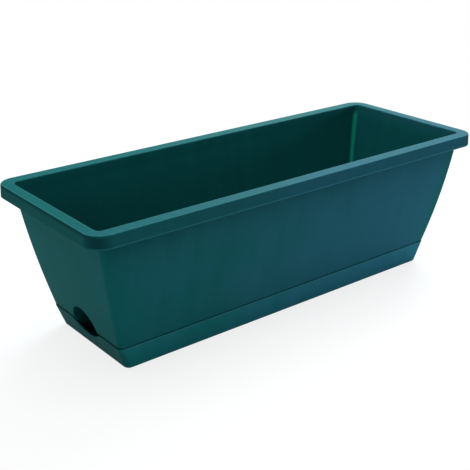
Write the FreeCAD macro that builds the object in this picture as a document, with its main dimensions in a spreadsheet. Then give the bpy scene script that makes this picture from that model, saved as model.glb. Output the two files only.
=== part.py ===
import FreeCAD, Part
import math
import os
import re
import Sketcher

# A long plastic planter: a trough with a turned-down rim and bowed walls, standing in a shallow water tray.
# The frame has +X along the length and +Z up, with its origin on the ground under the middle of the planter.

sizes = {
    # overall
    "total_height": 156.4,
    "rim_length": 500.0,
    "rim_width": 189.0,
    # rim of the trough, an inverted channel
    "rim_height": 12.8,
    "rim_end_land": 12.9,
    "rim_side_land": 14.4,
    "rim_draft": 0.6,
    "rim_corner": 19.0,
    "rim_plate": 2.0,
    "rim_skirt_wall": 1.8,
    "rim_edge_round": 1.0,
    "mouth_end_flare": 3.1,
    "mouth_edge_round": 0.8,
    # walls of the trough
    "wall": 1.8,
    "wall_top_corner": 7.2,
    "wall_foot_length": 422.2,
    "wall_foot_width": 125.7,
    "wall_foot_corner": 4.8,
    "end_bulge": 1.5,
    "side_bulge": 2.3,
    # floor of the trough, on short ring feet
    "floor_thickness": 2.0,
    "floor_round": 3.0,
    "foot_height": 6.0,
    "foot_radius": 9.0,
    "foot_spacing_x": 150.0,
    "foot_spacing_y": 70.0,
    "drain_radius": 4.0,
    "drain_pitch": 50.0,
    # arched fill opening in each end wall, and the hood behind it
    "fill_radius": 21.2,
    "fill_level": 24.4,
    "fill_depth": 30.0,
    # fit of the trough in the tray
    "nest_clearance": 0.5,
    # tray
    "tray_height": 24.5,
    "tray_gap": 0.5,
    "tray_proud": 0.5,
    "tray_wall": 1.6,
    "tray_floor": 2.0,
    "tray_end_lean": 8.7,
    "tray_side_lean": 2.8,
    "tray_base_corner": 6.0,
    "tray_base_round": 2.0,
    "tray_inner_round": 2.0,
    "tray_recess": 1.0,
    "tray_recess_margin": 9.0,
    "tray_recess_corner": 5.0,
    "lip_dip": 9.5,
    "lip_radius": 37.0,
    # how far every cutting form runs past the face that it cuts
    "overrun": 2.0,
}

# Sizes that follow from the ones above.
derived = {
    "mouth_length": "rim_length - 2 * rim_end_land",
    "mouth_width": "rim_width - 2 * rim_side_land",
    "wall_top_length": "mouth_length + 2 * wall - 2 * mouth_end_flare",
    "wall_top_width": "mouth_width + 2 * wall",
    "wall_middle_length": "(wall_top_length + wall_foot_length) / 2 + 2 * end_bulge",
    "wall_middle_width": "(wall_top_width + wall_foot_width) / 2 + 2 * side_bulge",
    "wall_middle_corner": "(wall_top_corner + wall_foot_corner) / 2",
    "rim_level": "total_height - rim_height",
    "step_level": "tray_height + tray_gap",
    "inner_step_level": "step_level + wall",
    "stand_level": "tray_recess + tray_floor",
    "under_level": "stand_level + foot_height",
    "floor_level": "under_level + floor_thickness",
    "nest_inset": "tray_wall + nest_clearance",
    "tray_length": "wall_foot_length + 2 * tray_proud",
    "tray_width": "wall_foot_width + 2 * tray_proud",
    "tray_corner": "wall_foot_corner + tray_proud",
    "tray_base_length": "tray_length - 2 * tray_end_lean",
    "tray_base_width": "tray_width - 2 * tray_side_lean",
    "fill_back": "wall_foot_length / 2 - fill_depth",
}

foot_steps = (-1, 0, 1)
middle_drain_steps = (-3, -2, -1, 0, 1, 2, 3)
side_drain_steps = (-2, -1, 1, 2)
sides = (-1, 1)


def formula(text):
    # Puts the sheet's name before each size, and each derived size's own formula in its place.
    def spell(word):
        name = word.group()
        if name in derived:
            return f"({formula(derived[name])})"
        return f"Sizes.{name}" if name in sizes else name
    return re.sub(r"[a-z]\w+", spell, text)


def bind(thing, place, text):
    thing.setExpression(place, formula(text))


document = FreeCAD.newDocument("planter")
sheet = document.addObject("Spreadsheet::Sheet", "Sizes")
for row, (name, value) in enumerate(sizes.items(), start=1):
    sheet.set(f"A{row}", name)
    sheet.set(f"B{row}", str(value))
    sheet.setAlias(f"B{row}", name)
document.recompute()


def new_object(kind, name):
    thing = document.addObject(kind, name)
    thing.Label = name
    return thing


def new_sketch(body, name, plane, level="0"):
    sketch = body.newObject("Sketcher::SketchObject", name)
    support = [feature for feature in body.Origin.OriginFeatures if feature.Role == plane]
    sketch.AttachmentSupport = [(support[0], "")]
    sketch.MapMode = "FlatFace"
    bind(sketch, "AttachmentOffset.Base.z", level)
    return sketch


def add_dimension(sketch, name, text, *constraint):
    # A named dimension of a sketch, driven by a formula.
    sketch.renameConstraint(sketch.addConstraint(Sketcher.Constraint(*constraint)), name)
    bind(sketch, f"Constraints.{name}", text)


def add_rounded_rectangle(sketch, length, width, corner):
    # Four lines and four corner arcs about the sketch's origin, drawn rim-sized and then driven to size.
    x = sizes["rim_length"] / 2
    y = sizes["rim_width"] / 2
    r = sizes["rim_corner"]
    arcs = []
    for quarter, (right, up) in enumerate(((1, -1), (1, 1), (-1, 1), (-1, -1))):
        centre = FreeCAD.Vector(right * (x - r), up * (y - r), 0)
        circle = Part.Circle(centre, FreeCAD.Vector(0, 0, 1), r)
        arcs.append(Part.ArcOfCircle(circle, (quarter - 1) * math.pi / 2, quarter * math.pi / 2))
    lines = [Part.LineSegment(arcs[side - 1].EndPoint, arcs[side].StartPoint) for side in range(4)]
    first = sketch.GeometryCount
    sketch.addGeometry(lines + arcs, False)
    for side in range(4):
        line = first + side
        arc = line + 4
        sketch.addConstraint(Sketcher.Constraint("Tangent", line, 2, arc, 1))
        sketch.addConstraint(Sketcher.Constraint("Tangent", arc, 2, first + (side + 1) % 4, 1))
        sketch.addConstraint(Sketcher.Constraint("Vertical" if side % 2 else "Horizontal", line))
        if side:
            sketch.addConstraint(Sketcher.Constraint("Equal", first + 4, arc))
    sketch.addConstraint(Sketcher.Constraint("Symmetric", first, 1, first + 2, 1, -1, 1))
    add_dimension(sketch, f"length_{first}", length, "DistanceX", first + 3, 1, first + 1, 1, 2 * x)
    add_dimension(sketch, f"width_{first}", width, "DistanceY", first, 1, first + 2, 1, 2 * y)
    add_dimension(sketch, f"corner_{first}", corner, "Radius", first + 4, r)


def add_circle(sketch, x, y, radius):
    # A circle whose centre lies at the formulas x and y, drawn at the origin and then driven there.
    start = sizes["fill_radius"]
    circle = Part.Circle(FreeCAD.Vector(0, 0, 0), FreeCAD.Vector(0, 0, 1), start)
    index = sketch.addGeometry(circle, False)
    add_dimension(sketch, f"radius_{index}", radius, "Radius", index, start)
    add_dimension(sketch, f"x_{index}", x, "DistanceX", -1, 1, index, 3, 0)
    add_dimension(sketch, f"y_{index}", y, "DistanceY", -1, 1, index, 3, 0)


def add_loft(body, name, sections):
    # A loft through rounded rectangles, each a length, a width, a corner radius and a level.
    sketches = []
    for number, (length, width, corner, level) in enumerate(sections):
        sketch = new_sketch(body, f"{name}_section_{number}", "XY_Plane", level)
        add_rounded_rectangle(sketch, length, width, corner)
        sketches.append(sketch)
    loft = body.newObject("PartDesign::AdditiveLoft", name)
    loft.Profile = (sketches[0], [""])
    loft.Sections = [(sketch, [""]) for sketch in sketches[1:]]
    document.recompute()
    return loft


def add_prism(body, name, kind, sketch, height, downwards=False):
    # A pad or a pocket that runs up from its sketch, or down.
    prism = body.newObject(f"PartDesign::{kind}", name)
    prism.Profile = sketch
    prism.Reversed = downwards == (kind == "Pad")
    bind(prism, "Length", height)
    document.recompute()
    if kind == "Pocket" and prism.Shape.Volume >= prism.BaseFeature.Shape.Volume:
        raise RuntimeError(f"{name} cuts nothing")
    return prism


def flat_edges(feature, level, reach=math.inf):
    # Names of the edges that lie at one level, no further out along X than a given reach.
    names = []
    for number, edge in enumerate(feature.Shape.Edges, start=1):
        off_level = [vertex for vertex in edge.Vertexes if round(vertex.Z - level, 3)]
        too_far = [vertex for vertex in edge.Vertexes if round(abs(vertex.X) - reach, 3) > 0]
        if not off_level and not too_far:
            names.append(f"Edge{number}")
    return names


def add_fillet(body, name, feature, edges, radius):
    fillet = body.newObject("PartDesign::Fillet", name)
    fillet.Base = (feature, edges)
    bind(fillet, "Radius", radius)
    document.recompute()
    return fillet


def add_arch(sketch, radius, low):
    # A half circle at the fill opening's level, on straight sides that go down to a low level.
    start = sizes["fill_radius"]
    level = sizes["fill_level"]
    centre = FreeCAD.Vector(0, level, 0)
    arc = Part.ArcOfCircle(Part.Circle(centre, FreeCAD.Vector(0, 0, 1), start), 0, math.pi)
    corners = [FreeCAD.Vector(side * start, 0, 0) for side in sides]
    left = Part.LineSegment(arc.EndPoint, corners[0])
    right = Part.LineSegment(corners[1], arc.StartPoint)
    sketch.addGeometry([arc, left, Part.LineSegment(*corners), right], False)
    for constraint in (("Tangent", 0, 2, 1, 1), ("Coincident", 1, 2, 2, 1), ("Coincident", 2, 2, 3, 1),
                       ("Tangent", 3, 2, 0, 1), ("Vertical", 1), ("Vertical", 3), ("Horizontal", 2),
                       ("PointOnObject", 0, 3, -2)):
        sketch.addConstraint(Sketcher.Constraint(*constraint))
    add_dimension(sketch, "radius", radius, "Radius", 0, start)
    add_dimension(sketch, "level", "fill_level", "DistanceY", -1, 1, 0, 3, level)
    add_dimension(sketch, "drop", f"fill_level - ({low})", "DistanceY", 1, 2, 0, 3, level)


def fuse(name, shapes):
    union = new_object("Part::MultiFuse", name)
    union.Shapes = shapes
    return union


def cut(name, base, tool):
    difference = new_object("Part::Cut", name)
    difference.Base = base
    difference.Tool = tool
    return difference


def make_arches(name, radius, low, back):
    # An arched block at each end, from the plane at back out past the end of the planter.
    arches = []
    for side in sides:
        body = new_object("PartDesign::Body", f"{name}_{'right' if side > 0 else 'left'}")
        sketch = new_sketch(body, f"{body.Name}_outline", "YZ_Plane", f"{side} * ({back})")
        add_arch(sketch, radius, low)
        add_prism(body, f"{body.Name}_block", "Pad", sketch, f"rim_length / 2 - ({back})", side < 0)
        arches.append(body)
    return fuse(name, arches)


def tray_section(level, inset):
    # The tray's outline at a level, moved in by an inset.
    grow = f"(({level}) / tray_height)"
    length = f"tray_base_length + 2 * tray_end_lean * {grow} - 2 * ({inset})"
    width = f"tray_base_width + 2 * tray_side_lean * {grow} - 2 * ({inset})"
    corner = f"tray_base_corner + (tray_corner - tray_base_corner) * {grow} - ({inset})"
    return length, width, corner, level


def wall_section(level, inset):
    # The wall's outline at a level, moved in by an inset: a parabola through foot, middle and top.
    rise = f"((({level}) - step_level) / (rim_level - step_level))"
    shares = (f"(1 - {rise}) * (1 - 2 * {rise})", f"4 * {rise} * (1 - {rise})", f"{rise} * (2 * {rise} - 1)")

    def follow(size):
        terms = [f"wall_{place}_{size} * {share}" for place, share in zip(("foot", "middle", "top"), shares)]
        return " + ".join(terms)
    length = f"{follow('length')} - 2 * {inset}"
    width = f"{follow('width')} - 2 * {inset}"
    return length, width, f"{follow('corner')} - {inset}", level


def wall_sections(low, inset):
    # Three outlines of the wall, from under the rim down to a low level.
    levels = ("rim_level", f"(rim_level + {low}) / 2", low)
    return [wall_section(level, inset) for level in levels]


def neck_section(level, inset):
    # The wall's outline inside the rim, moved in by an inset: its ends flare out to the mouth.
    flare = f"mouth_end_flare * (({level}) - rim_level) / rim_height"
    length = f"wall_top_length + 2 * {flare} - 2 * {inset}"
    return length, f"wall_top_width - 2 * {inset}", f"wall_top_corner - {inset}", level


def make_outer_form():
    # The trough as one block: the foot inside the tray, the walls, and the rim with its rounded top edge.
    body = new_object("PartDesign::Body", "outer_form")
    foot = add_loft(body, "nested_foot", [
        tray_section("step_level", "nest_inset"),
        tray_section("under_level", "nest_inset"),
    ])
    under_level = sizes["tray_recess"] + sizes["tray_floor"] + sizes["foot_height"]
    add_fillet(body, "foot_edge", foot, flat_edges(foot, under_level), "floor_round")
    add_loft(body, "walls", wall_sections("step_level", "0"))
    rim = add_loft(body, "rim", [
        ("rim_length", "rim_width", "rim_corner", "rim_level"),
        ("rim_length - 2 * rim_draft", "rim_width - 2 * rim_draft", "rim_corner - rim_draft", "total_height"),
    ])
    add_fillet(body, "rim_edge", rim, flat_edges(rim, sizes["total_height"]), "rim_edge_round")
    return body


def make_soil_form():
    # The soil space, from the floor up through the mouth, less the hoods over the fill openings.
    body = new_object("PartDesign::Body", "soil_space")
    inset = "nest_inset + wall"
    low = add_loft(body, "low_soil", [
        tray_section("inner_step_level", inset),
        tray_section("floor_level", inset),
    ])
    floor_level = sum(sizes[name] for name in ("tray_recess", "tray_floor", "foot_height", "floor_thickness"))
    add_fillet(body, "floor_edge", low, flat_edges(low, floor_level), "floor_round - wall")
    add_loft(body, "soil", wall_sections("inner_step_level", "wall"))
    add_loft(body, "mouth", [neck_section("total_height + overrun", "wall"), neck_section("rim_level", "wall")])
    hoods = make_arches("hoods", "fill_radius + wall", "stand_level", "fill_back - wall")
    return cut("soil_form", body, hoods)


def make_rim_channel():
    # The channel under the rim, between its skirt and the wall.
    block = new_object("PartDesign::Body", "channel_block")
    outline = new_sketch(block, "channel_outline", "XY_Plane", "rim_level - overrun")
    inset = "(rim_skirt_wall + rim_draft)"
    add_rounded_rectangle(outline, f"rim_length - 2 * {inset}", f"rim_width - 2 * {inset}", f"rim_corner - {inset}")
    add_prism(block, "channel", "Pad", outline, "rim_height - rim_plate + overrun")
    neck = new_object("PartDesign::Body", "neck")
    add_loft(neck, "neck_form", [neck_section("total_height", "0"), neck_section("rim_level", "0")])
    foot = new_sketch(neck, "neck_foot_outline", "XY_Plane", "rim_level")
    add_rounded_rectangle(foot, *neck_section("rim_level", "0")[:3])
    add_prism(neck, "neck_foot", "Pad", foot, "overrun", True)
    return cut("rim_channel", block, neck)


def make_trough():
    fills = make_arches("fills", "fill_radius", "stand_level", "fill_back")
    hollows = fuse("hollows", [make_soil_form(), make_rim_channel(), fills])
    moulding = cut("moulding", make_outer_form(), hollows)
    document.recompute()
    body = new_object("PartDesign::Body", "trough")
    body.BaseFeature = moulding
    document.recompute()
    feet = new_sketch(body, "foot_places", "XY_Plane", "stand_level")
    for step in foot_steps:
        for side in sides:
            for radius in ("foot_radius", "foot_radius - wall"):
                add_circle(feet, f"{step} * foot_spacing_x", f"{side} * foot_spacing_y / 2", radius)
    add_prism(body, "feet", "Pad", feet, "foot_height")
    drains = new_sketch(body, "drain_places", "XY_Plane", "under_level - overrun")
    for step in middle_drain_steps:
        add_circle(drains, f"{step} * drain_pitch", "0", "drain_radius")
    for step in side_drain_steps:
        for side in sides:
            add_circle(drains, f"{step} * drain_pitch", f"{side} * foot_spacing_y / 2", "drain_radius")
    holes = add_prism(body, "drains", "Pocket", drains, "floor_thickness + 2 * overrun")
    mouth_reach = sizes["rim_length"] / 2 - sizes["rim_end_land"]
    mouth_edges = flat_edges(holes, sizes["total_height"], mouth_reach)
    add_fillet(body, "mouth_edge", holes, mouth_edges, "mouth_edge_round")
    return body


def make_basin_form():
    # The water space of the tray, open at the top, with a rounded foot.
    body = new_object("PartDesign::Body", "basin_form")
    sections = [tray_section("tray_height + overrun", "tray_wall"), tray_section("stand_level", "tray_wall")]
    basin = add_loft(body, "basin", sections)
    stand_level = sizes["tray_recess"] + sizes["tray_floor"]
    add_fillet(body, "basin_edge", basin, flat_edges(basin, stand_level), "tray_inner_round")
    return body


def make_drip_tray():
    block = new_object("PartDesign::Body", "tray_block")
    form = add_loft(block, "tray_form", [tray_section("tray_height", "0"), tray_section("0", "0")])
    add_fillet(block, "base_edge", form, flat_edges(form, 0), "tray_base_round")
    moulding = cut("tray_moulding", block, make_basin_form())
    document.recompute()
    body = new_object("PartDesign::Body", "drip_tray")
    body.BaseFeature = moulding
    document.recompute()
    recess = new_sketch(body, "recess_outline", "XY_Plane")
    recess_length = "tray_base_length - 2 * tray_recess_margin"
    recess_width = "tray_base_width - 2 * tray_recess_margin"
    add_rounded_rectangle(recess, recess_length, recess_width, "tray_recess_corner")
    add_prism(body, "recess", "Pocket", recess, "tray_recess")
    lip = new_sketch(body, "lip_outline", "YZ_Plane", "-tray_length / 2 - overrun")
    add_circle(lip, "0", "tray_height - lip_dip + lip_radius", "lip_radius")
    add_prism(body, "lip", "Pocket", lip, "tray_length + 2 * overrun")
    return body


nodes = [make_trough(), make_drip_tray()]
document.recompute()

for thing in document.Objects:
    if "Invalid" in thing.State or "Error" in thing.State:
        raise RuntimeError(f"{thing.Label} failed: {thing.State}")
for node in nodes:
    if node.Shape.isNull() or not node.Shape.isValid() or len(node.Shape.Solids) != 1:
        raise RuntimeError(f"{node.Label} is not one valid solid")

os.makedirs("parts", exist_ok=True)
for node in nodes:
    node.Shape.exportStep(f"parts/{node.Label}.step")
    box = node.Shape.optimalBoundingBox()
    low = [round(value, 2) for value in (box.XMin, box.YMin, box.ZMin)]
    high = [round(value, 2) for value in (box.XMax, box.YMax, box.ZMax)]
    print(node.Label, "volume", round(node.Shape.Volume), "from", low, "to", high)
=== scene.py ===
import math
import bmesh
import bpy
import numpy as np
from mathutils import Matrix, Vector
from mathutils.geometry import delaunay_2d_cdt


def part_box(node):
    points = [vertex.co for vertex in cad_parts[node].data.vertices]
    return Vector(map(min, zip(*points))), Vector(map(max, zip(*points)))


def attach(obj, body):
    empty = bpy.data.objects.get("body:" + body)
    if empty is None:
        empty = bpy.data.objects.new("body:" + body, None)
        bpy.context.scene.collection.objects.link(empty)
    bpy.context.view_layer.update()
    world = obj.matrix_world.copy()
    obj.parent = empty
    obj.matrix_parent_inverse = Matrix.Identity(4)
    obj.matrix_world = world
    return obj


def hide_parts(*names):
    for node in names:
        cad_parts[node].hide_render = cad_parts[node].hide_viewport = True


# A long moulded planter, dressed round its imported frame: all lengths are metres, +X along it and +Z up.
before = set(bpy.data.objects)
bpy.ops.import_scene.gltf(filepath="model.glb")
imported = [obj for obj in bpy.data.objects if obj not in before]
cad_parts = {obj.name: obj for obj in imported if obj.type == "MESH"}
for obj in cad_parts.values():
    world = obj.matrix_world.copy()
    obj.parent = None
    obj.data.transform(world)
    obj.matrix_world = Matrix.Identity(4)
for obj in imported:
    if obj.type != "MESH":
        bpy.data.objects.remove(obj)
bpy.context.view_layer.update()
scene = bpy.context.scene
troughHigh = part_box("trough")[1]
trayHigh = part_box("drip_tray")[1]


# Profiles. A row of a profile is a rounded rectangle: half length, half width, corner, level, the wear and
# painted light of its long sides, those of its ends, and the painted shade its corners have beyond that.
# Above 0 it shows as a paler rubbed edge, in places standing for a painted highlight, and below 0 as painted
# shade.

def rows(outline, inset, level, wearAndPaintedLight=0.0, endWearAndPaintedLight=None, cornerPaintedShade=0.0):
    endWearAndPaintedLight = wearAndPaintedLight if endWearAndPaintedLight is None else endWearAndPaintedLight
    sizes = [size - inset for size in outline]
    columns = np.broadcast_arrays(*sizes, level, wearAndPaintedLight, endWearAndPaintedLight, cornerPaintedShade)
    return np.stack(columns, axis=-1).reshape(-1, len(columns))


edgeSteps = {"large": 8, "middle": 6, "small": 4, "fine": 3}


def turn(inset, level, radius, start, end, size):
    # inset and level of a round edge about its centre, 0 degrees facing out and 90 facing up
    angle = np.radians(np.linspace(start, end, edgeSteps[size] + 1))
    return inset - radius * np.cos(angle), level + radius * np.sin(angle)


def bow(share):
    # a parabola, 0 where the share is 0 or 1 and 1 halfway between
    return 4 * share * (1 - share)


ring = {
    "sideColumns": 20,     # along half of a long side
    "cornerColumns": 14,
    "endColumns": 6,       # along an end, from the corner to the band round its middle
    "bandColumns": 16,     # across half of that band
    "band": 0.034,         # half width of the band, wider than the fill opening
}
bandSteps = np.linspace(ring["band"], 0, ring["bandColumns"] + 1)[1:]


def quarterRing(rowSet, bandColumns):
    # Carries a profile along a quarter of its rounded rectangle: from the middle of the front side to the
    # corner, a quarter circle round it, and the left end as far as the last of the band's columns. Along
    # the corner the wear and painted light go over from the side's to the end's, with a parabola of painted
    # shade of the corner's own.
    halfLength, halfWidth, corner, level, wearAndPaintedLight, endWearAndPaintedLight, cornerPaintedShade = rowSet.T[:, :, None]
    straightX = halfLength - corner
    straightY = halfWidth - corner
    sideShare = np.linspace(0, 1, ring["sideColumns"] + 1)[:-1]
    angle = np.linspace(0, math.pi / 2, ring["cornerColumns"] + 1)
    endShare = np.linspace(0, 1, ring["endColumns"] + 1)[1:]
    x = [straightX * sideShare, straightX + corner * np.sin(angle),
         halfLength + 0 * endShare, halfLength + 0 * bandColumns]
    y = [halfWidth + 0 * sideShare, straightY + corner * np.cos(angle),
         straightY * (1 - endShare) + ring["band"] * endShare, 0 * halfWidth + bandColumns]
    x = np.concatenate(x, axis=1)
    y = np.concatenate(y, axis=1)
    endColumns = np.ones(len(endShare) + len(bandColumns))
    onEnd = np.concatenate([0 * sideShare, angle / angle[-1], endColumns])
    wearAndPaintedLight = wearAndPaintedLight + (endWearAndPaintedLight - wearAndPaintedLight) * onEnd + cornerPaintedShade * bow(onEnd)
    return np.stack([-x, -y, level + 0 * x, wearAndPaintedLight], axis=-1)


def circle(centre, radius, steps=40):
    # points at even angles round a level circle
    angle = np.linspace(0, 2 * math.pi, steps + 1)[:-1]
    return np.stack([centre[0] + radius * np.cos(angle), centre[1] + radius * np.sin(angle)], axis=-1)


def spun(centre, radii, levels):
    # A profile of radius and level, spun round an upright axis.
    loops = np.stack([circle(centre, radius) for radius in radii])
    loops = np.concatenate([loops, loops[:, :1]], axis=1)
    heights = np.broadcast_to(np.asarray(levels)[:, None, None], loops.shape[:2] + (1,))
    return np.concatenate([loops, heights, 0 * heights], axis=-1)


weld = {
    "plateFill": 1,        # of a plate, keep the triangles inside its outer edge
    "plateGap": 1e-7,
    "joinGap": 2e-6,
    "sliver": 1e-7,
    "sharpAngle": 35,      # degrees
}


def flatPlate(quarterLoop, level, rings):
    # A level plate inside the loop that a quarter of its edge gives by mirroring, less each ring's
    # band from its inner to its outer radius; a hole has the inner radius 0.
    quarter = quarterLoop[:, :2]
    half = np.concatenate([quarter, (quarter * [1, -1])[-2::-1]])
    loops = [np.concatenate([half, (half * [-1, 1])[-2:0:-1]])]
    for centre, inner, outer in rings:
        loops += [circle(centre, radius) for radius in (inner, outer) if radius]
    edges, count = [], 0
    for loop in loops:
        index = np.arange(len(loop)) + count
        edges += np.column_stack([index, np.roll(index, -1)]).tolist()
        count += len(loop)
    outline = np.concatenate(loops).tolist()
    filled = delaunay_2d_cdt(outline, edges, [], weld["plateFill"], weld["plateGap"])
    spots = np.array(filled[0])
    triangles = np.array(filled[2])
    middle = spots[triangles].mean(axis=1)
    keep = np.ones(len(triangles), bool)
    for centre, inner, outer in rings:
        away = np.linalg.norm(middle - centre, axis=1)
        keep &= (away < inner) | (away > outer)
    points = np.column_stack([spots, np.full(len(spots), level), np.zeros(len(spots))])
    return points, triangles[keep]


def addShare(mesh, name, values):
    data = mesh.attributes.new(name, "FLOAT", "POINT").data
    data.foreach_set("value", values.astype(np.float32))


def makePiece(name, quarters, wholes, plates):
    # Mirrors the quarter grids, joins all the grids and plates and welds them into one closed skin.
    grids = [grid * [flipX, flipY, 1, 1] for grid in quarters for flipX in (1, -1) for flipY in (1, -1)]
    points, faces, count = [], [], 0
    for grid in grids + wholes:
        index = np.arange(grid.shape[0] * grid.shape[1]).reshape(grid.shape[:2]) + count
        quads = np.stack([index[:-1, :-1], index[1:, :-1], index[1:, 1:], index[:-1, 1:]], axis=-1)
        points.append(grid.reshape(-1, 4))
        faces += quads.reshape(-1, 4).tolist()
        count += index.size
    for spots, triangles in plates:
        points.append(spots)
        faces += (triangles + count).tolist()
        count += len(spots)
    points = np.concatenate(points)
    mesh = bpy.data.meshes.new(name)
    mesh.from_pydata(points[:, :3].tolist(), [], faces)
    addShare(mesh, "wearAndPaintedLight", points[:, 3])
    skin = bmesh.new()
    skin.from_mesh(mesh)
    bmesh.ops.remove_doubles(skin, verts=skin.verts, dist=weld["joinGap"])
    bmesh.ops.dissolve_degenerate(skin, edges=skin.edges, dist=weld["sliver"])
    bmesh.ops.recalc_face_normals(skin, faces=skin.faces)
    openEdges = sum(not edge.is_manifold for edge in skin.edges)
    skin.to_mesh(mesh)
    skin.free()
    mesh.shade_smooth()
    mesh.set_sharp_from_angle(angle=math.radians(weld["sharpAngle"]))
    piece = bpy.data.objects.new(name, mesh)
    scene.collection.objects.link(piece)
    print(name, "faces", len(mesh.polygons), "open edges", openEdges)
    return piece


# Tray: a leaning wall on a rounded base, with its lip dipped under the fill openings.

tray = {
    "height": trayHigh.z,
    "rimCorner": 0.0053,
    "baseCorner": 0.006,
    "endLean": 0.0087,         # the base is smaller than the rim by these, at each end and side
    "sideLean": 0.0028,
    "wall": 0.0016,
    "floor": 0.002,
    "baseRound": 0.002,
    "innerRound": 0.002,
    "rimRound": 0.0006,
    "recess": 0.001,           # the underside stands on a rim round this recess
    "recessMargin": 0.009,
    "recessCorner": 0.005,
    "standInsets": (0.005, 0.0032),    # rows on that rim, counted from the base
    "lipDip": 0.0095,
    "lipRadius": 0.037,
    "lipBlend": 0.0012,        # softens the two corners where the dip starts
    "dipFrom": 0.006,          # the wall is drawn down above this level
    # rubbed edges; at the rim and the base they are also painted highlights
    "rimWearAndHighlight": 1.5,
    "innerWear": 1.0,
    "baseWearAndHighlight": 1.2,
    "recessWear": 0.5,
    "paleEdgeBand": 0.0018,        # the rim's rubbed edge and painted highlight fade out over this
    "endShade": -1.0,          # painted shade on the ends
    "tone": 1.42,              # lightness of its plastic; lighter than the trough's as painted light
    "outerRows": 12,
    "innerRows": 11,
}
tray["stand"] = tray["recess"] + tray["floor"]
tray["rim"] = (trayHigh.x, trayHigh.y, tray["rimCorner"])       # half length, half width and corner
tray["base"] = (trayHigh.x - tray["endLean"], trayHigh.y - tray["sideLean"], tray["baseCorner"])


def trayOutline(level):
    # The tray grows in a straight line from its base to its rim.
    grow = level / tray["height"]
    return [base + (rim - base) * grow for base, rim in zip(tray["base"], tray["rim"])]


def dipLip(grid):
    # Draws the wall down at the ends: the rim follows a circle there, and each row below moves by its share.
    across = np.minimum(np.abs(grid[..., 1]), tray["lipRadius"])
    drop = np.sqrt(tray["lipRadius"] ** 2 - across ** 2) - (tray["lipRadius"] - tray["lipDip"])
    drop = (drop + np.hypot(drop, tray["lipBlend"])) / 2
    top = tray["height"] - tray["rimRound"]
    share = np.clip((grid[..., 2] - tray["dipFrom"]) / (top - tray["dipFrom"]), 0, 1)
    atEnd = np.abs(grid[..., 1]) < tray["lipRadius"]
    drop = np.where(atEnd, drop * share, 0)
    lean = (tray["rim"][0] - tray["base"][0]) / tray["height"]
    dipped = grid.copy()
    dipped[..., 0] += drop * lean
    dipped[..., 2] -= drop
    return dipped


def makeTray():
    # The profile runs out from the recess, round the base, up the wall, over the rim and down to the floor.
    height, stand, wall = tray["height"], tray["stand"], tray["wall"]
    edge, base, inner = tray["rimRound"], tray["baseRound"], tray["innerRound"]
    recess = [size - tray["recessMargin"] for size in tray["base"][:2]] + [tray["recessCorner"]]
    recessEdge = turn(0, edge / 2, edge / 2, 180, 270, "fine")
    baseInset, baseLevel = turn(base, base, base, -90, 0, "large")
    outerWall = np.linspace(base, height - edge - tray["paleEdgeBand"], tray["outerRows"])[1:]
    outerInset, outerLevel = turn(edge, height - edge, edge, 0, 90, "small")
    innerInset, innerLevel = turn(wall - edge, height - edge, edge, 90, 180, "small")
    innerWall = np.linspace(height - edge, stand + inner, tray["innerRows"])[1:-1]
    footInset, footLevel = turn(wall + inner, stand + inner, inner, 180, 270, "middle")
    profile = np.concatenate([
        rows(recess, 0, tray["recess"]),
        rows(recess, *recessEdge, tray["recessWear"]),
        rows(trayOutline(0), np.array(tray["standInsets"]), 0.0),
        rows(trayOutline(baseLevel), baseInset, baseLevel, tray["baseWearAndHighlight"], tray["endShade"]),
        rows(trayOutline(outerWall), 0, outerWall, 0.0, tray["endShade"]),
        rows(trayOutline(outerLevel), outerInset, outerLevel, tray["rimWearAndHighlight"], tray["endShade"]),
        rows(trayOutline(innerLevel), innerInset, innerLevel, tray["innerWear"]),
        rows(trayOutline(innerWall), wall, innerWall),
        rows(trayOutline(footLevel), footInset, footLevel),
    ])
    skin = dipLip(quarterRing(profile, bandSteps))
    plates = [flatPlate(skin[0], tray["recess"], []), flatPlate(skin[-1], stand, [])]
    piece = makePiece("waterTray", [skin], [], plates)
    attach(piece, "tray")
    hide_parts("drip_tray")
    return piece


# Trough: bowed walls under a turned-down rim, a floor on ring feet, and a hooded fill opening at each end.

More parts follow.
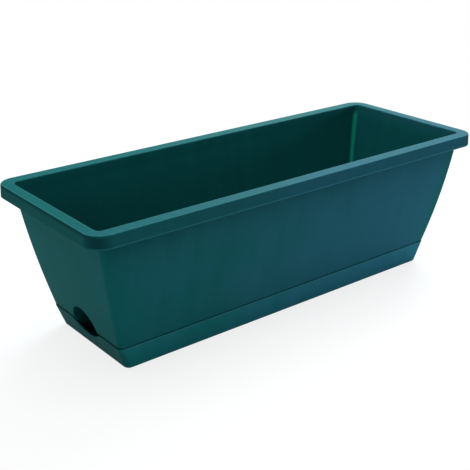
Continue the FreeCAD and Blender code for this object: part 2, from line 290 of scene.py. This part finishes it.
trough = {
    "top": troughHigh.z,
    "rimCorner": 0.019,
    "rimHeight": 0.0128,
    "endLand": 0.0129,         # width of the rim's top at the ends, and along the sides
    "sideLand": 0.0144,
    "rimDraft": 0.0006,
    "rimPlate": 0.002,
    "endFlare": 0.0031,        # the ends of the wall open by this inside the rim
    "rimRound": 0.001,
    "mouthRound": 0.0008,
    "skirtWall": 0.0018,
    "skirtRound": 0.0007,
    "channelRound": 0.0012,
    "wall": 0.0018,
    "topCorner": 0.0072,
    "foot": (0.2111, 0.06285, 0.0048),   # half length, half width and corner of the wall just above the tray
    "endBulge": 0.0015,
    "sideBulge": 0.0023,
    "ledgeRound": 0.0004,
    "nestClearance": 0.0005,
    "trayGap": 0.0005,
    "floor": 0.002,
    "floorRound": 0.003,
    "footHeight": 0.006,
    "footRadius": 0.009,
    "footRound": 0.0004,
    "footSpacing": (0.15, 0.035),
    "drainRadius": 0.004,
    "drainPitch": 0.05,
    "fillWidth": 0.0212,       # half width of a fill opening
    "fillApex": 0.0456,
    "fillBack": 0.1811,
    "fillEdge": 0.0008,
    "fillBackRound": 0.002,
    "archTop": 0.058,          # the walls run whole round the trough above this level
    "neckMargins": (0.003, 0.002),     # rows inside the rim keep this far from its top and its lower edge
    "patchShares": (0, 0.06, 0.2, 0.42, 0.68, 1),      # columns from a fill opening's edge to the band's
    "counts": {                # rows along the profile, and columns of a hood
        "nest": 6,
        "low": 8,
        "high": 18,
        "skirt": 5,
        "neck": 3,
        "innerNest": 5,
        "innerLow": 9,
        "hoodMouth": 5,
        "hoodRun": 9,
        "hoodBend": 6,
        "hoodBack": 9,
    },
    "tone": 1.0,               # lightness of its plastic
    "wearAndPaintedLight": {                  # rubbed edges, painted highlights and painted shade, with the lengths that they fill
        "brow": 1.0,           # outer edge of the rim's top: a rubbed edge and painted highlight
        "scuff": 0.64,         # its flat, along the sides and at the ends
        "endScuff": 0.45,
        "browHold": 0.0006,    # rows on the flat, counted from the outer edge
        "scuffFrom": 0.0018,
        "scuffTo": 0.0012,     # and from the mouth's edge
        "mouth": 0.8,
        "curl": 0.8,           # lower edge of the skirt: a rubbed edge and painted highlight
        "innerCurl": 0.5,
        "curlBand": 0.0013,
        # painted shade on the skirt, deeper at its corners and along the brow at the ends
        "skirt": -0.62,
        "skirtCorner": -0.9,
        "endBrow": -1.6,
        "underRim": -1.1,      # painted shade under the rim: fades down the wall over the length below, and is weaker on the ends
        "underRimFade": 0.020,
        "underRimEnd": 0.35,
        "gap": -1.0,           # painted shade in the gap above the tray
        "endGap": -2.0,
        "gapHeight": 0.003,
        "fill": 0.6,           # edge of a fill opening, on the first columns of its hood
        "fillColumns": 3,
        # painted shade inside the fill openings' hoods
        "hood": -0.8,
        "shadeFade": 0.010,    # the inside takes on the outside's painted bluish light over this, at the mouth
        "cornerFade": 0.012,
        # painted glow of light through the inner corners: its fade in the rim and its power
        "paintedGlowFade": 0.006,
        "paintedGlowPower": 1.3,
    },
}
trough["rim"] = (troughHigh.x, troughHigh.y, trough["rimCorner"])     # half length, half width and corner
trough["rimLevel"] = trough["top"] - trough["rimHeight"]
trough["step"] = tray["height"] + trough["trayGap"]
trough["under"] = tray["stand"] + trough["footHeight"]
trough["floorLevel"] = trough["under"] + trough["floor"]
wallTop = [trough["rim"][0] - trough["endLand"] + trough["wall"] - trough["endFlare"],
           trough["rim"][1] - trough["sideLand"] + trough["wall"], trough["topCorner"]]
nestInset = tray["wall"] + trough["nestClearance"]

# two rows of three feet, with drains along the middle and between the feet of each row
footX, footY = trough["footSpacing"]
footPlaces = [(x * footX, y * footY) for x in (-1, 0, 1) for y in (-1, 1)]
drainPlaces = [(step * trough["drainPitch"], 0) for step in range(-3, 4)]
drainPlaces += [(step * trough["drainPitch"], y * footY) for step in (-2, -1, 1, 2) for y in (-1, 1)]


def wallOutline(level):
    # Each size of the wall follows a parabola in the level, through its foot, its bowed middle and its top.
    rise = (level - trough["step"]) / (trough["rimLevel"] - trough["step"])
    bulges = (trough["endBulge"], trough["sideBulge"], 0)
    return [foot + (top - foot) * rise + bulge * bow(rise)
            for foot, top, bulge in zip(trough["foot"], wallTop, bulges)]


def neckOutline(level):
    # Inside the rim the ends of the wall flare out in a straight line to the mouth.
    flare = trough["endFlare"] * (level - trough["rimLevel"]) / trough["rimHeight"]
    return [wallTop[0] + flare, wallTop[1], wallTop[2]]


def outerProfile():
    # outside, from the floor's edge up to the arch's top: the foot inside the tray, and the wall over it
    wearAndLight, counts = trough["wearAndPaintedLight"], trough["counts"]
    step, ledge, edge = trough["step"], trough["ledgeRound"], trough["floorRound"]
    inset, level = turn(edge, trough["under"] + edge, edge, -90, 0, "large")
    nest = np.linspace(level[-1], step, counts["nest"])[1:]
    ledgeInset, ledgeLevel = turn(ledge, step + ledge, ledge, -90, 0, "fine")
    foot = np.concatenate([
        rows(trayOutline(level), nestInset + inset, level),
        rows(trayOutline(nest), nestInset, nest),
        rows(wallOutline(ledgeLevel), ledgeInset, ledgeLevel, wearAndLight["gap"], wearAndLight["endGap"]),
    ])
    levels = np.linspace(step + wearAndLight["gapHeight"], trough["archTop"], counts["low"])
    levels = np.concatenate([[step + ledge, step + 2 * ledge], levels])
    sidePaintedShade, endWearAndPaintedLight = np.zeros((2, len(levels)))
    sidePaintedShade[0] = wearAndLight["gap"]
    endWearAndPaintedLight[:2] = wearAndLight["endGap"]
    return foot, rows(wallOutline(levels), 0, levels, sidePaintedShade, endWearAndPaintedLight)


def innerProfile():
    # inside, from the floor's edge up to the arch's top
    wall, counts = trough["wall"], trough["counts"]
    step, edge = trough["step"] + wall, trough["floorRound"] - wall
    inset, level = turn(edge, trough["floorLevel"] + edge, edge, -90, 0, "middle")
    nest = np.linspace(level[-1], step, counts["innerNest"])[1:]
    foot = np.concatenate([
        rows(trayOutline(level), nestInset + wall + inset, level),
        rows(trayOutline(nest), nestInset + wall, nest),
        rows(wallOutline(step), wall, step),
    ])
    levels = np.linspace(step, trough["archTop"], counts["innerLow"])
    return foot, rows(wallOutline(levels), wall, levels)


def rimProfile():
    # Up the wall into the rim's channel, down and round its skirt, over the top and down the inside. The
    # painted shade under the rim fades down the wall as an exponential, and the painted shade on the skirt
    # goes over into the rubbed edge and painted highlight of the rim's top with the square of the way round
    # it.
    wearAndLight, counts = trough["wearAndPaintedLight"], trough["counts"]
    wall, rim, rimLevel, top = trough["wall"], trough["rim"], trough["rimLevel"], trough["top"]
    channel, curl = trough["channelRound"], trough["skirtRound"]
    edge, mouth = trough["rimRound"], trough["mouthRound"]
    ceiling = top - trough["rimPlate"]
    skirt = trough["skirtWall"] + trough["rimDraft"]
    outerLevels = np.linspace(trough["archTop"], rimLevel, counts["high"])
    underRim = wearAndLight["underRim"] * np.exp((outerLevels - rimLevel) / wearAndLight["underRimFade"])
    riseInset, riseLevel = turn(-channel, ceiling - channel, channel, 180, 90, "small")
    fall = turn(skirt + channel, ceiling - channel, channel, 90, 0, "small")
    innerCurl = turn(skirt - curl, rimLevel + curl, curl, 180, 270, "small")
    outerCurl = turn(curl, rimLevel + curl, curl, -90, 0, "small")
    skirtLevels = np.linspace(rimLevel + curl + wearAndLight["curlBand"], top - edge, counts["skirt"])[:-1]
    draft = trough["rimDraft"] * (skirtLevels - rimLevel) / trough["rimHeight"]
    brow = turn(trough["rimDraft"] + edge, top - edge, edge, 0, 90, "large")
    browShare = np.linspace(0, 1, len(brow[0])) ** 2
    browWearAndPaintedLight = [low + (wearAndLight["brow"] - low) * browShare for low in (wearAndLight["skirt"], wearAndLight["endBrow"])]
    flatFrom = brow[0][-1]
    scuff = (wearAndLight["scuff"], wearAndLight["endScuff"])
    lip = turn(wall - mouth, top - mouth, mouth, 90, 180, "middle")
    topMargin, lowMargin = trough["neckMargins"]
    neckLevels = np.linspace(top - topMargin, rimLevel + lowMargin, counts["neck"])
    innerLevels = np.linspace(rimLevel, trough["archTop"], counts["high"])
    return np.concatenate([
        rows(wallOutline(outerLevels), 0, outerLevels, underRim, wearAndLight["underRimEnd"] * underRim),
        rows(neckOutline(riseLevel), riseInset, riseLevel),
        rows(rim, *fall),
        rows(rim, *innerCurl, wearAndLight["innerCurl"], 0.0),
        rows(rim, *outerCurl, wearAndLight["curl"], wearAndLight["skirt"]),
        rows(rim, draft, skirtLevels, wearAndLight["skirt"], None, wearAndLight["skirtCorner"]),
        rows(rim, *brow, *browWearAndPaintedLight),
        rows(rim, flatFrom + wearAndLight["browHold"], top, wearAndLight["brow"]),
        rows(rim, flatFrom + wearAndLight["scuffFrom"], top, *scuff),
        rows(neckOutline(top), lip[0][0] - wearAndLight["scuffTo"], top, *scuff),
        rows(neckOutline(lip[1]), *lip, wearAndLight["mouth"]),
        rows(neckOutline(neckLevels), wall, neckLevels),
        rows(wallOutline(innerLevels), wall, innerLevels),
    ])


def openEnd(footRows, lowRows, thickness, hoodPaintedShade):
    # The skin below the arch's top, with the hood that runs in from its end wall: outside, or the wall's
    # thickness inside. Beside the arch, half an ellipse, a fan of straight lines joins its outline to the
    # band's frame, and the hood carries the outline inwards.
    wearAndLight, counts = trough["wearAndPaintedLight"], trough["counts"]
    patchShares = np.array(trough["patchShares"])
    edge = trough["fillEdge"]
    width, apex = trough["fillWidth"] + thickness, trough["fillApex"] + thickness
    back, backRound = trough["fillBack"] - thickness, trough["fillBackRound"] + thickness
    footReach, footLevel = footRows[:, 0], footRows[:, 3]
    lowLevel, lowEndPaintedShade = lowRows[:, 3], lowRows[:, 5]
    spring = lowLevel[0]
    rise = apex - spring
    spread = width + edge + (ring["band"] - width - edge) * patchShares
    foot = quarterRing(footRows, spread[-2::-1])
    low = quarterRing(lowRows, np.array([]))
    frameY = np.concatenate([np.full(len(lowRows), ring["band"]), bandSteps])
    frameZ = np.concatenate([lowLevel, np.full(len(bandSteps), lowLevel[-1])])
    angle = np.arctan2(frameZ - spring, frameY)
    archY = (width + edge) * np.cos(angle)
    archZ = spring + (rise + edge) * np.sin(angle)
    fanY = archY[:, None] + (frameY - archY)[:, None] * patchShares
    fanZ = archZ[:, None] + (frameZ - archZ)[:, None] * patchShares
    fanWearAndPaintedShade = np.interp(fanZ, lowLevel, lowEndPaintedShade)
    fanWearAndPaintedShade[:, 0] = wearAndLight["fill"]
    fan = np.stack([thickness - wallOutline(fanZ)[0], -fanY, fanZ, fanWearAndPaintedShade], axis=-1)

    # the hood's outline: up the straight side of the foot, then over the arch
    cosine = np.concatenate([np.ones(len(footRows)), np.cos(angle[1:])])[:, None]
    sine = np.concatenate([np.zeros(len(footRows)), np.sin(angle[1:])])[:, None]
    level = np.concatenate([footLevel, np.full(len(angle) - 1, spring)])[:, None]
    start = np.concatenate([footReach, wallOutline(archZ[1:])[0] - thickness])[:, None]
    mouth = np.radians(np.linspace(0, 90, counts["hoodMouth"]))
    run = np.linspace(0, 1, counts["hoodRun"])[1:-1]
    bend = np.radians(np.linspace(0, 90, counts["hoodBend"]))
    offset = np.concatenate([edge * (1 - np.sin(mouth)), 0 * run, -backRound * (1 - np.cos(bend))])
    length = [start - edge * (1 - np.cos(mouth)),
              (start - edge) * (1 - run) + (back + backRound) * run,
              back + backRound * (1 - np.sin(bend)) + 0 * start]
    length = np.concatenate(length, axis=1)
    hoodY = (width + offset) * cosine
    hoodZ = level + (rise + offset) * sine
    wearAndPaintedLight = np.full(hoodZ.shape, hoodPaintedShade)
    wearAndPaintedLight[:, :wearAndLight["fillColumns"]] = wearAndLight["fill"]
    hood = np.stack([-length, -hoodY, hoodZ, wearAndPaintedLight], axis=-1)

    # the back wall: the hood's last column, drawn in to the middle
    backShare = np.linspace(1, 0, counts["hoodBack"])[:, None]
    wallBack = hood[:, -1][:, None] * np.where(np.arange(4) == 1, backShare, 1)
    edgeLoop = np.concatenate([foot[0], hood[0, 1:], wallBack[0, 1:]])
    return [foot, low, fan, hood, wallBack], edgeLoop


def markInside(mesh):
    # Two shares from 0 to 1. Shaded is 1 on the skin inside the wall, where the painted bluish light and
    # sheen are kept off, and fades out at the mouth; outside it is 1 on the upright corners and fades out
    # beside them, keeping the painted sheen off them too. The painted glow marks the middle of each upright
    # inner corner, as
    # light through the wall there: the sine of twice the angle about the corner's centre, raised to a power,
    # and faded out in the rim.
    wearAndLight = trough["wearAndPaintedLight"]
    spots = np.empty(len(mesh.vertices) * 3, np.float32)
    mesh.vertices.foreach_get("co", spots)
    spots = spots.reshape(-1, 3)
    level = spots[:, 2]
    halfLength, halfWidth, corner = wallOutline(level)
    outX = np.abs(spots[:, 0]) - (halfLength - corner)
    outY = np.abs(spots[:, 1]) - (halfWidth - corner)
    outside = np.hypot(np.maximum(outX, 0), np.maximum(outY, 0))
    depth = corner - outside - np.minimum(np.maximum(outX, outY), 0)     # below the wall's outer skin
    inner = depth > trough["wall"] / 2
    above = level > trough["step"]
    onWall = (depth > -trough["wall"] / 2) & above & (level < trough["rimLevel"])
    besideCorner = np.clip(1 + np.minimum(outX, outY) / wearAndLight["cornerFade"], 0, 1)
    shaded = np.clip((trough["top"] - level) / wearAndLight["shadeFade"], 0, 1) * inner
    shaded = np.maximum(shaded, besideCorner * onWall)
    inCorner = (outX > 0) & (outY > 0) & inner
    share = np.where(inCorner, np.sin(2 * np.arctan2(outY, outX)), 0)
    fade = np.clip(1 + (trough["rimLevel"] - level) / wearAndLight["paintedGlowFade"], 0, 1)
    paintedGlow = np.clip(share, 0, 1) ** wearAndLight["paintedGlowPower"] * fade * above
    addShare(mesh, "shaded", shaded)
    addShare(mesh, "paintedGlow", paintedGlow)


def makeTrough():
    wall, under, stand = trough["wall"], trough["under"], tray["stand"]
    outside, underLoop = openEnd(*outerProfile(), 0, trough["wearAndPaintedLight"]["hood"])
    inside, floorLoop = openEnd(*innerProfile(), wall, 0.0)
    quarters = [quarterRing(rimProfile(), bandSteps)] + outside + inside

    # floor, drains and ring feet
    drain, outer, edge = trough["drainRadius"], trough["footRadius"], trough["footRound"]
    inner = outer - wall
    holes = [(place, 0, drain) for place in drainPlaces]
    feet = [(place, inner, outer) for place in footPlaces]
    plates = [flatPlate(underLoop, under, holes + feet), flatPlate(floorLoop, trough["floorLevel"], holes)]
    footRadii = [outer, outer, outer - edge, inner + edge, inner, inner]
    footLevels = [under, stand + edge, stand, stand, stand + edge, under]
    wholes = [spun(place, footRadii, footLevels) for place in footPlaces]
    wholes += [spun(place, [drain, drain], [trough["floorLevel"], under]) for place in drainPlaces]
    piece = makePiece("planterTrough", quarters, wholes, plates)
    markInside(piece.data)
    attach(piece, "planter")
    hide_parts("trough")
    return piece


# Shader maths: a Signal is one socket, and sums and products of Signals add Math nodes.

class Signal:
    def __init__(self, tree, socket):
        self.tree = tree
        self.socket = socket

    def make(self, kind, settings, inputs, output=0):
        node = self.tree.nodes.new(kind)
        for name, value in settings.items():
            setattr(node, name, value)
        for name, value in inputs.items():
            if isinstance(value, Signal):
                self.tree.links.new(value.socket, node.inputs[name])
            else:
                node.inputs[name].default_value = value
        return Signal(self.tree, node.outputs[output]) if node.outputs else None

    def maths(self, operation, first, second):
        return self.make("ShaderNodeMath", {"operation": operation}, {0: first, 1: second})

    def __add__(self, other):
        return self.maths("ADD", self, other)

    def __sub__(self, other):
        return self.maths("SUBTRACT", self, other)

    def __rsub__(self, other):
        return self.maths("SUBTRACT", other, self)

    def __mul__(self, other):
        return self.maths("MULTIPLY", self, other)

    __radd__ = __add__
    __rmul__ = __mul__


def startMaterial(name):
    material = bpy.data.materials.new(name)
    material.use_nodes = True
    tree = material.node_tree
    tree.nodes.clear()
    return material, Signal(tree, None)


def shadeMix(start, share, first, second, blend="MIX"):
    # a Mix node's colour sockets are its inputs 6 and 7 and its output 2
    return start.make("ShaderNodeMix", {"data_type": "RGBA", "blend_type": blend},
                      {0: share, 6: first, 7: second}, 2)


def mapRange(start, value, low, high, lowTo=0.0, highTo=1.0, kind="LINEAR"):
    return start.make("ShaderNodeMapRange", {"interpolation_type": kind},
                      {"Value": value, "From Min": low, "From Max": high, "To Min": lowTo, "To Max": highTo})


def readShare(start, name):
    return start.make("ShaderNodeAttribute", {"attribute_name": name}, {}, "Fac")


def makeNoise(start, place, scale, detail):
    return start.make("ShaderNodeTexNoise", {}, {"Vector": place, "Scale": scale, "Detail": detail})


def weigh(noises, weights, middle=0.0):
    # each noise times its weight, counted from a middle value
    total = -middle * sum(weights.values())
    for name, weight in weights.items():
        total = noises[name] * weight + total
    return total


# Plastic: satin moulded teal, with painted bluish light and sheen growing towards the front right but kept
# off the inside and the upright corners, a fine grain, faint flow streaks, paler rubbed edges that in places
# are painted highlights, painted shade, and a painted glow in the inner corners.

plastic = {
    # the first colour is the plastic's own green; the second is painted bluish light and sheen; the third is
    # for rubbed edges and painted highlights; the fourth is a painted glow of light through the inner
    # corners
    "green": (0.0056, 0.092, 0.092, 1),
    "bluePaintedLight": (0.0145, 0.091, 0.124, 1),
    "wearAndLight": (0.030, 0.150, 0.158, 1),
    "paintedGlow": (0.0080, 0.290, 0.200, 1),
    "noises": {"cloud": (7.0, 3.0), "patch": (26.0, 2.0), "wave": (38.0, 1.0),     # scale per metre, detail
               "speck": (420.0, 2.0), "grain": (1300, 2.0)},
    "streakStretch": (70, 70, 5),
    "streakNoise": (1.0, 4.0),
    "noiseMiddle": 0.5,
    "paintedLightDirection": (0.6, -1.6, 0),
    "paintedLightNoise": {"cloud": 0.18, "patch": 0.18, "streak": 0.1},
    "paintedLightFrom": -0.05,         # the painted bluish light and sheen grow along that direction between these
    "paintedLightTo": 0.17,
    "shade": 0.78,
    "shadeNoise": {"streak": 0.22, "speck": 0.1, "patch": 0.08, "cloud": 0.04},
    "paintedShadeFrom": -2.0,          # the mark of the darkest painted shade, and how dark it makes the colour
    "paintedShadeDepth": 0.2,
    "paleEdge": 0.35,               # how much of the rubbed edges and painted highlights shows, with its specks
    "paleEdgeSpeck": 0.9,
    "paleEdgeFrom": 0.35,
    "paleEdgeTo": 1.1,
    "paleEdgeMost": 0.8,
    "roughness": 0.5,
    "roughNoise": {"streak": 0.1, "speck": 0.12},
    "paleEdgeRough": 0.1,
    "specular": 0.008,
    "bumpNoise": {"grain": 0.8, "wave": 1.2},
    "bumpStrength": 0.5,
    "bumpDepth": 0.00004,
}


def plasticMaterial(name, tone):
    material, start = startMaterial(name)
    place = start.make("ShaderNodeTexCoord", {}, {}, "Object")
    noises = {kind: makeNoise(start, place, *sizes) for kind, sizes in plastic["noises"].items()}
    stretched = start.make("ShaderNodeMapping", {}, {"Vector": place, "Scale": plastic["streakStretch"]})
    noises["streak"] = makeNoise(start, stretched, *plastic["streakNoise"])

    # green to the painted bluish light and sheen, then the random shade and the painted shade
    along = start.make("ShaderNodeVectorMath", {"operation": "DOT_PRODUCT"},
                       {0: place, 1: plastic["paintedLightDirection"]}, "Value")
    paintedLightShare = along + weigh(noises, plastic["paintedLightNoise"], plastic["noiseMiddle"])
    hue = mapRange(start, paintedLightShare, plastic["paintedLightFrom"], plastic["paintedLightTo"])
    colour = shadeMix(start, hue * (1 - readShare(start, "shaded")), plastic["green"], plastic["bluePaintedLight"])
    wearAndPaintedLight = readShare(start, "wearAndPaintedLight")
    paintedShade = mapRange(start, wearAndPaintedLight, plastic["paintedShadeFrom"], 0.0, plastic["paintedShadeDepth"], 1.0)
    shade = tone * (plastic["shade"] + weigh(noises, plastic["shadeNoise"])) * paintedShade
    grey = start.make("ShaderNodeCombineColor", {}, {"Red": shade, "Green": shade, "Blue": shade})
    colour = shadeMix(start, 1.0, colour, grey, "MULTIPLY")

    # rubbed edges with painted highlights, and the painted glow in the thin corners
    specked = wearAndPaintedLight * (plastic["paleEdge"] + noises["speck"] * plastic["paleEdgeSpeck"])
    paleEdge = mapRange(start, specked, plastic["paleEdgeFrom"], plastic["paleEdgeTo"], 0.0, plastic["paleEdgeMost"])
    colour = shadeMix(start, paleEdge, colour, plastic["wearAndLight"])
    colour = shadeMix(start, readShare(start, "paintedGlow"), colour, plastic["paintedGlow"])

    rough = plastic["roughness"] + weigh(noises, plastic["roughNoise"], plastic["noiseMiddle"])
    rough = rough + paleEdge * plastic["paleEdgeRough"]
    bump = start.make("ShaderNodeBump", {}, {
        "Strength": plastic["bumpStrength"], "Distance": plastic["bumpDepth"],
        "Height": weigh(noises, plastic["bumpNoise"])})
    surface = start.make("ShaderNodeBsdfPrincipled", {}, {
        "Base Color": colour, "Roughness": rough, "Normal": bump, "Specular IOR Level": plastic["specular"]})
    start.make("ShaderNodeOutputMaterial", {}, {"Surface": surface})
    return material


# Stage: a pale floor that looks white, soft lamps and the camera of the photograph.

stage = {
    "white": (1, 1, 1, 1),
    "floorSize": 6.0,
    "floorColour": (0.88, 0.88, 0.88, 1),
    "shadowColour": (0.2, 0.2, 0.2, 1),
    "glow": 0.8,
    "fadeFrom": 0.34,          # the floor turns plain white between these distances
    "fadeTo": 0.75,
    "ambient": 0.2,
    "ambientColour": (0.93, 0.97, 1, 1),
    "lampTarget": (0, 0, 0.1),
    "eye": (-0.59814, -0.71850, 0.45525),
    "aim": (0.57590, 0.72130, -0.38479),
    "lens": 71.153,
    "clipStart": 0.01,
    "lamps": {                 # place, width and height, watts and colour
        "keyWindow": ((1.15, 0.75, 1.0), (1.2, 1.0), 39, (0.76, 0.92, 1)),
        "overhead": ((0.0, 0.06, 1.8), (2.2, 1.2), 28, (1, 1, 1)),
        "leftFill": ((-1.5, -0.3, 0.6), (0.9, 0.9), 3.6, (0.75, 0.96, 1)),
        "rightFill": ((1.5, -1.2, 0.3), (0.9, 0.5), 11.8, (0.72, 0.87, 1)),
    },
}


def lookRay(start):
    # 1 for what the camera sees, straight on or in gloss or glass
    path = start.make("ShaderNodeLightPath", {}, {}, "Is Camera Ray")
    node = path.socket.node
    glossy = Signal(start.tree, node.outputs["Is Glossy Ray"])
    clear = Signal(start.tree, node.outputs["Is Transmission Ray"])
    return start.make("ShaderNodeClamp", {}, {"Value": path + glossy + clear})


def makeFloor():
    half = stage["floorSize"] / 2
    corners = [(-half, -half, 0), (half, -half, 0), (half, half, 0), (-half, half, 0)]
    mesh = bpy.data.meshes.new("studioFloor")
    mesh.from_pydata(corners, [], [(0, 1, 2, 3)])
    floor = bpy.data.objects.new("studioFloor", mesh)
    scene.collection.objects.link(floor)
    material, start = startMaterial("studioFloor")
    pale = start.make("ShaderNodeBsdfDiffuse", {}, {"Color": stage["floorColour"]})
    glow = start.make("ShaderNodeEmission", {}, {"Color": stage["white"], "Strength": stage["glow"]})
    shadow = start.make("ShaderNodeBsdfDiffuse", {}, {"Color": stage["shadowColour"]})
    lit = start.make("ShaderNodeAddShader", {}, {0: shadow, 1: glow})
    white = start.make("ShaderNodeEmission", {}, {"Color": stage["white"], "Strength": 1.0})
    place = start.make("ShaderNodeTexCoord", {}, {}, "Object")
    away = start.make("ShaderNodeVectorMath", {"operation": "LENGTH"}, {0: place}, "Value")
    fade = mapRange(start, away, stage["fadeFrom"], stage["fadeTo"], kind="SMOOTHSTEP")
    bright = start.make("ShaderNodeMixShader", {}, {0: fade, 1: lit, 2: white})
    seen = start.make("ShaderNodeMixShader", {}, {0: lookRay(start), 1: pale, 2: bright})
    under = start.make("ShaderNodeNewGeometry", {}, {}, "Backfacing")
    clear = start.make("ShaderNodeBsdfTransparent", {}, {})
    surface = start.make("ShaderNodeMixShader", {}, {0: under, 1: seen, 2: clear})
    start.make("ShaderNodeOutputMaterial", {}, {"Surface": surface})
    mesh.materials.append(material)


def makeWorld():
    world = bpy.data.worlds.new("studio")
    world.use_nodes = True
    scene.world = world
    tree = world.node_tree
    tree.nodes.clear()
    start = Signal(tree, None)
    light = start.make("ShaderNodeBackground", {},
                       {"Color": stage["ambientColour"], "Strength": stage["ambient"]})
    white = start.make("ShaderNodeBackground", {}, {"Color": stage["white"], "Strength": 1.0})
    surface = start.make("ShaderNodeMixShader", {}, {0: lookRay(start), 1: light, 2: white})
    start.make("ShaderNodeOutputWorld", {}, {"Surface": surface})


def facing(direction):
    return direction.to_track_quat("-Z", "Y").to_euler()


def addLamp(name, place, size, power, colour):
    lamp = bpy.data.lights.new(name, "AREA")
    lamp.shape = "RECTANGLE"
    lamp.size, lamp.size_y = size
    lamp.energy = power
    lamp.color = colour
    holder = bpy.data.objects.new(name, lamp)
    holder.location = place
    holder.rotation_euler = facing(Vector(stage["lampTarget"]) - Vector(place))
    scene.collection.objects.link(holder)


def makeCamera():
    lens = bpy.data.cameras.new("photoCamera")
    lens.lens = stage["lens"]
    lens.clip_start = stage["clipStart"]
    camera = bpy.data.objects.new("photoCamera", lens)
    camera.location = stage["eye"]
    camera.rotation_euler = facing(Vector(stage["aim"]))
    scene.collection.objects.link(camera)
    scene.camera = camera


trayPiece = makeTray()
troughPiece = makeTrough()
trayPiece.data.materials.append(plasticMaterial("trayPlastic", tray["tone"]))
troughPiece.data.materials.append(plasticMaterial("troughPlastic", trough["tone"]))
print("plastic done")
makeFloor()
makeWorld()
for lampName, lampSettings in stage["lamps"].items():
    addLamp(lampName, *lampSettings)
makeCamera()
scene.view_settings.view_transform = "Standard"
print("stage done")
